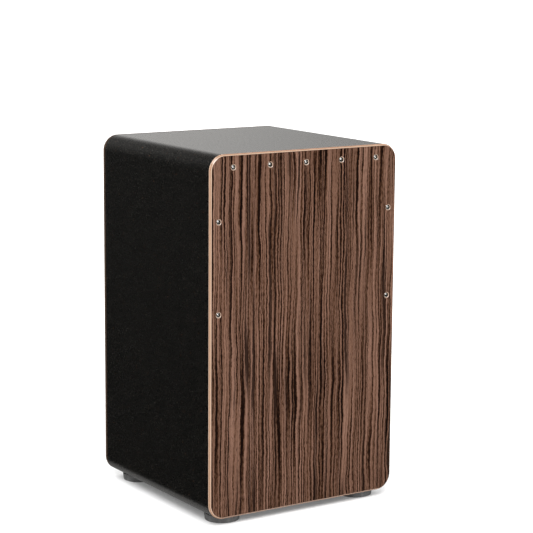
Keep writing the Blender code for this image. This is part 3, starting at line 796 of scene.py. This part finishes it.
def make_rear_plate(material):
    thickness = REAR_BACK - REAR_FRONT
    profile = soften([(FACE_MARGIN, 0.0), (0.0, 0.0), (0.0, thickness),
                      (FACE_MARGIN, thickness)], REAR_ARRIS)
    plate = stacked([(box_outline(inset), REAR_FRONT + depth) for inset, depth in profile])
    wide = HOLE_RADIUS + CUT_SPARE
    mouth = soften([(wide, -HOLE_SKIM), (HOLE_RADIUS, 0.0), (HOLE_RADIUS, thickness),
                    (wide, thickness + HOLE_SKIM)], HOLE_ARRIS, 4)
    outline = [(0.0, -CUT_SPARE), (wide, -CUT_SPARE), *mouth,
               (wide, thickness + CUT_SPARE), (0.0, thickness + CUT_SPARE)]
    cutter = aimed(lathe(outline, HOLE_FACETS), (0, 1, 0), (0.0, REAR_FRONT, HOLE_MIDDLE))
    piece("rear_plate", carved(plate, [cutter]), material, "black_lacquer", "back_panel")


# ---------------------------------------------------------------- screws
def cross(arm, width):
    """Outline of a cross, by the reach of its arms and half their width."""
    return [(arm, -width), (arm, width), (width, width), (width, arm), (-width, arm),
            (-width, width), (-arm, width), (-arm, -width), (-width, -width), (-width, -arm),
            (width, -arm), (width, -width)]


def recess(top, head_radius):
    """Cross recess to cut into a head whose top is at that height. It narrows as it deepens."""
    arm, width = head_radius * SLOT_ARM, head_radius * SLOT_HALF_WIDTH
    depth = head_radius * SLOT_DEPTH
    rings = []
    for height, share in ((top + SLOT_SPARE, 1.15), (top - 0.75 * depth, 0.72), (top - depth, 0.40)):
        outline = cross(arm * share, width * (0.6 + 0.4 * share))
        rings.append([(x, y, height) for x, y in outline])
    return loft(rings)


def dome(radius, base, height, steps=8):
    """(radius, height) points of a cap, from its top to its rim."""
    turns = [math.radians(90 - 90 * i / steps) for i in range(steps + 1)]
    return [(radius * math.cos(a), base + height * math.sin(a)) for a in turns]


def point(shank, tip):
    """(radius, height) points of a screw's blunt point."""
    return [(shank, tip + TIP_TAPER * shank), (shank * TIP_SHARE, tip), (0.0, tip)]


def raised_screw(head_radius, top, tip):
    """Raised countersunk screw pointing down -Z from a plate whose face is at height 0."""
    shank = TAPA_SCREW_SHANK
    rim = top - TAPA_SCREW_DOME
    profile = dome(head_radius, rim, TAPA_SCREW_DOME)
    profile += [(head_radius, rim - TAPA_SCREW_RIM), (shank, rim - head_radius + shank)]
    profile += point(shank, tip)
    return carved(lathe(profile, ROUND_FACETS), [recess(top, head_radius)])


def pan_screw(head_radius, head_height, shank, tip):
    """Pan head screw: its head stands on height 0 and its shank reaches down to tip."""
    rim = head_height * PAN_RIM
    profile = dome(head_radius, rim, head_height - rim)
    profile += [(head_radius, 0.0), (shank, 0.0)]
    profile += point(shank, tip)
    return carved(lathe(profile, ROUND_FACETS), [recess(head_height, head_radius)])


def make_tapa_screws(steel):
    low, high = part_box(TAPA_SCREWS[0])
    head_radius = (high.x - low.x) / 2
    shape = to_mesh(raised_screw(head_radius, TAPA_FRONT - low.y, TAPA_FRONT - high.y))
    for i, node in enumerate(TAPA_SCREWS, 1):
        middle = middle_of(node)
        place = aim((0, -1, 0), (middle.x, TAPA_FRONT, middle.z), SCREW_TURNS * i)
        piece(f"plate_screw_{i}", shape, steel, "bright_steel", node, place=place)


# ---------------------------------------------------------------- feet
def make_feet(grey, steel):
    low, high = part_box("front_left_foot")
    radius = (high.x - low.x) / 2
    washer_low, washer_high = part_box("front_left_washer")
    ledge = washer_high.z + GLUE_GAP
    outline = [(FOOT_BORE, high.z), (radius, high.z), (radius - FOOT_TAPER, 0.0),
               (FOOT_RECESS, 0.0), (FOOT_RECESS, ledge), (FOOT_BORE, ledge)]
    foot = to_mesh(lathe(soften(outline, FOOT_EDGE, 4, closed=True), ROUND_FACETS, closed=True))

    radius = (washer_high.x - washer_low.x) / 2
    outline = [(FOOT_BORE, washer_high.z), (radius, washer_high.z), (radius, washer_low.z),
               (FOOT_BORE, washer_low.z)]
    washer = to_mesh(lathe(soften(outline, WASHER_EDGE, 2, closed=True), closed=True))

    low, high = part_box("front_left_foot_screw")
    under_head = washer_low.z - GLUE_GAP
    screw = to_mesh(pan_screw((high.x - low.x) / 2, under_head - low.z, FOOT_SCREW_SHANK,
                              under_head - high.z))
    for i, foot_name in enumerate(FEET):
        middle = middle_of(f"{foot_name}_foot")
        place = Matrix.Translation((middle.x, middle.y, 0.0))
        piece(f"{foot_name}_pad", foot, grey, "rubber", f"{foot_name}_foot", place=place)
        piece(f"{foot_name}_disc", washer, steel, "bright_steel", f"{foot_name}_washer",
              place=place)
        turned = aim((0, 0, -1), (middle.x, middle.y, under_head), SCREW_TURNS * i)
        piece(f"{foot_name}_screw", screw, steel, "bright_steel", f"{foot_name}_foot_screw",
              place=turned)


# ---------------------------------------------------------------- battens and brackets
def make_battens(woods):
    for end in ("front", "rear"):
        for side in ("top", "bottom", "left", "right"):
            node = f"{end}_{side}_batten"
            low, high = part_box(node)
            block = rounded_block(low, high, BATTEN_ARRIS)
            bites = []
            for screw in TAPA_SCREWS:
                middle = middle_of(screw)
                inside = low.x < middle.x < high.x and low.z < middle.z < high.z
                if end == "front" and inside:
                    bites.append(bore(CLEARANCE_HOLE, (middle.x, low.y - CUT_SPARE, middle.z),
                                      CUT_SPARE + TAPA_PILOT_DEPTH, (0, 1, 0)))
            if bites:
                block = carved(block, bites)
            wood = woods["across" if side in ("top", "bottom") else "upright"]
            piece(f"{end}_{side}_rail", block, wood, "light_wood", node)


def make_brackets(wood, steel):
    for hand, side in (("left", -1), ("right", 1)):
        node = f"{hand}_snare_bracket"
        low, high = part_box(node)
        inner = high.x if side < 0 else low.x
        start = inner - side * CUT_SPARE
        length = high.x - low.x + 2 * CUT_SPARE
        bores = [bore(BAR_RADIUS + GLUE_GAP, (start, PIVOT.y, PIVOT.z), length, (side, 0, 0),
                      ROUND_FACETS)]
        for end in ("upper", "lower"):
            z = middle_of(f"{hand}_{end}_bracket_screw").z
            bores.append(bore(BRACKET_SCREW_HOLE, (start, PIVOT.y, z), length, (side, 0, 0)))
        block = carved(rounded_block(low, high, BRACKET_ARRIS), bores)
        piece(f"{hand}_bearing", block, wood, "light_wood", node)
        for end in ("upper", "lower"):
            node = f"{hand}_{end}_bracket_screw"
            low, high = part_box(node)
            z = (low.z + high.z) / 2
            under_head = inner - side * GLUE_GAP
            head, tip = (high.x, low.x) if side < 0 else (low.x, high.x)
            shape = pan_screw((high.y - low.y) / 2, abs(head - under_head), BRACKET_SCREW_SHANK,
                              -abs(tip - under_head))
            place = aim((-side, 0, 0), (under_head, PIVOT.y, z), z * BRACKET_SCREW_TURN)
            piece(f"{hand}_{end}_bearing_screw", shape, steel, "bright_steel", node, place=place)


# ---------------------------------------------------------------- the swinging snare
def snare_place():
    """Where the snare's own frame lies in the world at rest."""
    vertices = [v.co for v in frame["nodes"]["snare_lever"].data.vertices]
    far = max((v - PIVOT).length for v in vertices)
    rim = [v for v in vertices if (v - PIVOT).length > far - LEVER_END]
    end = sum(rim, Vector()) / len(rim) - PIVOT
    return Matrix.Translation(PIVOT) @ Matrix.Rotation(math.atan2(end.z, end.y), 4, "X")


def bar_ring(x, flat):
    """One section of the bar, with or without the flat along its front."""
    points = []
    for i in range(ROUND_FACETS):
        angle = 2 * math.pi * (i + 0.5) / ROUND_FACETS
        y = BAR_RADIUS * math.cos(angle)
        points.append((x, max(y, -BAR_FLAT) if flat else y, BAR_RADIUS * math.sin(angle)))
    return points


def clamp_bores(middle, start, length):
    """Holes for one snare's two clamp screws, from y = start towards +Y."""
    return [bore(CLAMP_SCREW_HOLE, (middle + end * CLAMP_SCREW_X, start, 0), length, (0, 1, 0))
            for end in (-1, 1)]


def make_bar(place, wood):
    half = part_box("snare_bar")[1].x
    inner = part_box("right_snare_bracket")[0].x - BAR_RADIUS
    flat_end = inner - FLAT_RUNOUT
    stations = ((-half, False), (-inner, False), (-flat_end, True), (flat_end, True),
                (inner, False), (half, False))
    bores = [bore(LEVER_RADIUS + GLUE_GAP, (0, 0, 0), BAR_RADIUS + CUT_SPARE, (0, 1, 0),
                  ROUND_FACETS)]
    for middle in (-SNARE_MIDDLE, SNARE_MIDDLE):
        bores += clamp_bores(middle, -BAR_FLAT - CUT_SPARE, CUT_SPARE + BAR_PILOT_DEPTH)
    bar = carved(loft([bar_ring(x, flat) for x, flat in stations]), bores)
    piece("swing_bar", bar, wood, "beech", "snare_bar", place=place)


def coil(work, x, phase):
    """Add one strand to a bmesh: wire wound in a long open coil."""
    y = (PLATE_BACK + PLATE_FRONT) / 2
    steps = int((STRAND_HIGH - STRAND_LOW) / COIL_LEAD * TURN_STEPS)
    slope = math.atan2(COIL_LEAD, 2 * math.pi * COIL_RADIUS)
    rings = []
    for i in range(steps + 1):
        angle = phase + 2 * math.pi * i / TURN_STEPS
        outward = Vector((math.cos(angle), math.sin(angle), 0.0))
        ahead = Vector((-math.sin(angle), math.cos(angle), 0.0))
        beside = ahead * -math.sin(slope) + Vector((0, 0, math.cos(slope)))
        axis = Vector((x, y, STRAND_LOW + i * COIL_LEAD / TURN_STEPS))
        ring = []
        for k in range(WIRE_SIDES):
            around = 2 * math.pi * k / WIRE_SIDES
            offset = outward * math.cos(around) + beside * math.sin(around)
            ring.append(work.verts.new(axis + outward * COIL_RADIUS + offset * WIRE_RADIUS))
        rings.append(ring)
    for lower, upper in zip(rings, rings[1:]):
        for k in range(WIRE_SIDES):
            n = (k + 1) % WIRE_SIDES
            work.faces.new((lower[k], lower[n], upper[n], upper[k]))
    work.faces.new(reversed(rings[0]))
    work.faces.new(rings[-1])


def make_snare(name, middle, place, wire, steel):
    plate = rounded_block((middle - PLATE_HALF, PLATE_FRONT, -PLATE_HALF_HEIGHT),
                          (middle + PLATE_HALF, PLATE_BACK, PLATE_HALF_HEIGHT), PLATE_ARRIS, 2)
    plate = carved(plate, clamp_bores(middle, PLATE_FRONT - CUT_SPARE, CLAMP_BORE_LENGTH))
    for i in range(STRANDS):
        coil(plate, middle + (i - (STRANDS - 1) / 2) * STRAND_PITCH, i * COIL_PHASE)
    piece(f"{name}_wires", plate, wire, "snare_wire", f"{name}_snare", place=place, sharp=50)

    strip = rounded_block((middle - PLATE_HALF, STRIP_FRONT, -STRIP_HALF_HEIGHT),
                          (middle + PLATE_HALF, STRIP_BACK, STRIP_HALF_HEIGHT), STRIP_ARRIS)
    strip = carved(strip, clamp_bores(middle, STRIP_FRONT - CUT_SPARE, CLAMP_BORE_LENGTH))
    piece(f"{name}_strip", strip, steel, "bright_steel", f"{name}_clamp_strip", place=place)

    shape = to_mesh(pan_screw(CLAMP_HEAD_RADIUS, CLAMP_HEAD_HEIGHT, CLAMP_SCREW_SHANK,
                              CLAMP_SCREW_TIP))
    for end, side in (("left", -1), ("right", 1)):
        under_head = (middle + side * CLAMP_SCREW_X, STRIP_FRONT - GLUE_GAP, 0.0)
        spot = aim((0, -1, 0), under_head, 1.1 * side + 9 * middle)
        piece(f"{name}_{end}_strip_screw", shape, steel, "bright_steel",
              f"{name}_{end}_clamp_screw", place=place @ spot)


def make_lever(place, wood, plastic):
    along = place @ aim((0, 1, 0), (0, 0, 0))
    stick = soften([(0.0, GLUE_GAP), (LEVER_RADIUS, GLUE_GAP), (LEVER_RADIUS, LEVER_LENGTH),
                    (0.0, LEVER_LENGTH)], LEVER_EDGE)
    piece("lever_stick", lathe(stick), wood, "beech", "snare_lever", place=along)

    socket, bottom = LEVER_RADIUS + GLUE_GAP, LEVER_LENGTH + GLUE_GAP
    outside = [(socket, KNOB_MOUTH), (KNOB_MOUTH_RADIUS, KNOB_MOUTH), (KNOB_RADIUS, KNOB_WAIST),
               (KNOB_RADIUS, KNOB_SHOULDER), (KNOB_NOSE_RADIUS, KNOB_NOSE), (0.0, KNOB_END)]
    knob = [(0.0, bottom), (socket, bottom)] + soften(outside, KNOB_ROUNDING, 6)
    piece("knob", lathe(knob, ROUND_FACETS), plastic, "knob", "lever_knob", place=along)


def make_swing(beech_bar, beech_stick, wire, steel, plastic):
    place = snare_place()
    make_bar(place, beech_bar)
    make_snare("left", -SNARE_MIDDLE, place, wire, steel)
    make_snare("right", SNARE_MIDDLE, place, wire, steel)
    make_lever(place, beech_stick, plastic)


# ---------------------------------------------------------------- floor and light
def make_floor():
    work = bmesh.new()
    bmesh.ops.create_grid(work, x_segments=1, y_segments=1, size=FLOOR_HALF)
    floor = bpy.data.objects.new("floor", to_mesh(work, "floor"))
    floor.data.materials.append(floor_material())
    floor.visible_glossy = False
    bpy.context.scene.collection.objects.link(floor)


def make_room():
    """White to the eye. Light and reflections meet a room with a low bright window."""
    world = bpy.data.worlds.new("room")
    bpy.context.scene.world = world
    world.use_nodes = True
    g = Graph(world.node_tree, "Generated")
    x, y, z = g.axes()
    height = g.math("ADD", g.math("MULTIPLY", z, 0.5), 0.5)
    skies = []
    for sky in (OTHER_SKY, WINDOW_SKY):
        stops = [((math.sin(math.radians(elevation)) + 1) / 2, tone) for elevation, tone in sky]
        skies.append(g.ramp(height, stops))
    towards = g.total((x, WINDOW_TOWARDS[0]), (y, WINDOW_TOWARDS[1]))
    room = g.mix(g.step(towards, *WINDOW_EDGE), *skies)
    room = g.mix(g.math("MULTIPLY", g.step(x, *DIM_EDGE), DIM_SHARE), room, (0.0, 0.0, 0.0))
    room = g.mix(1.0, room, SKY_TINT, "MULTIPLY")
    seen = g.tree.nodes.new("ShaderNodeLightPath").outputs["Is Camera Ray"]
    background = g.tree.nodes["Background"]
    background.inputs["Strength"].default_value = SKY_STRENGTH
    g.put(background.inputs["Color"], g.mix(seen, room, (1.0, 1.0, 1.0)))


def make_lamps():
    for name, (stands, strength, width, mirrored) in LAMPS.items():
        data = bpy.data.lights.new(name, "SUN")
        data.energy = strength
        data.angle = math.radians(width)
        lamp = bpy.data.objects.new(name, data)
        lamp.matrix_world = aim(stands, Vector(stands) * 2)
        lamp.visible_glossy = mirrored
        bpy.context.scene.collection.objects.link(lamp)


def main():
    bpy.context.scene.view_settings.view_transform = "Standard"
    make_camera()
    make_room()
    make_floor()
    make_lamps()

    black = black_board()
    steel = metal("bright_nickel", (0.74, 0.73, 0.70), 0.17)
    wire = metal("wire_steel", (0.66, 0.64, 0.60), 0.28)
    birch = {"across": timber("birch_across", (0.66, 0.47, 0.29), (0.50, 0.33, 0.19), 0),
             "upright": timber("birch_upright", (0.66, 0.47, 0.29), (0.50, 0.33, 0.19), 2)}
    beech_bar = timber("beech_bar", (0.58, 0.36, 0.21), (0.44, 0.25, 0.14), 0)
    beech_stick = timber("beech_stick", (0.58, 0.36, 0.21), (0.44, 0.25, 0.14), 2)

    make_shell(black)
    make_tapa(veneer(), plywood_edge())
    make_rear_plate(rear_board())
    make_tapa_screws(steel)
    make_feet(rubber(), steel)
    make_battens(birch)
    make_brackets(birch["upright"], steel)
    make_swing(beech_bar, beech_stick, wire, steel, black_plastic())


main()
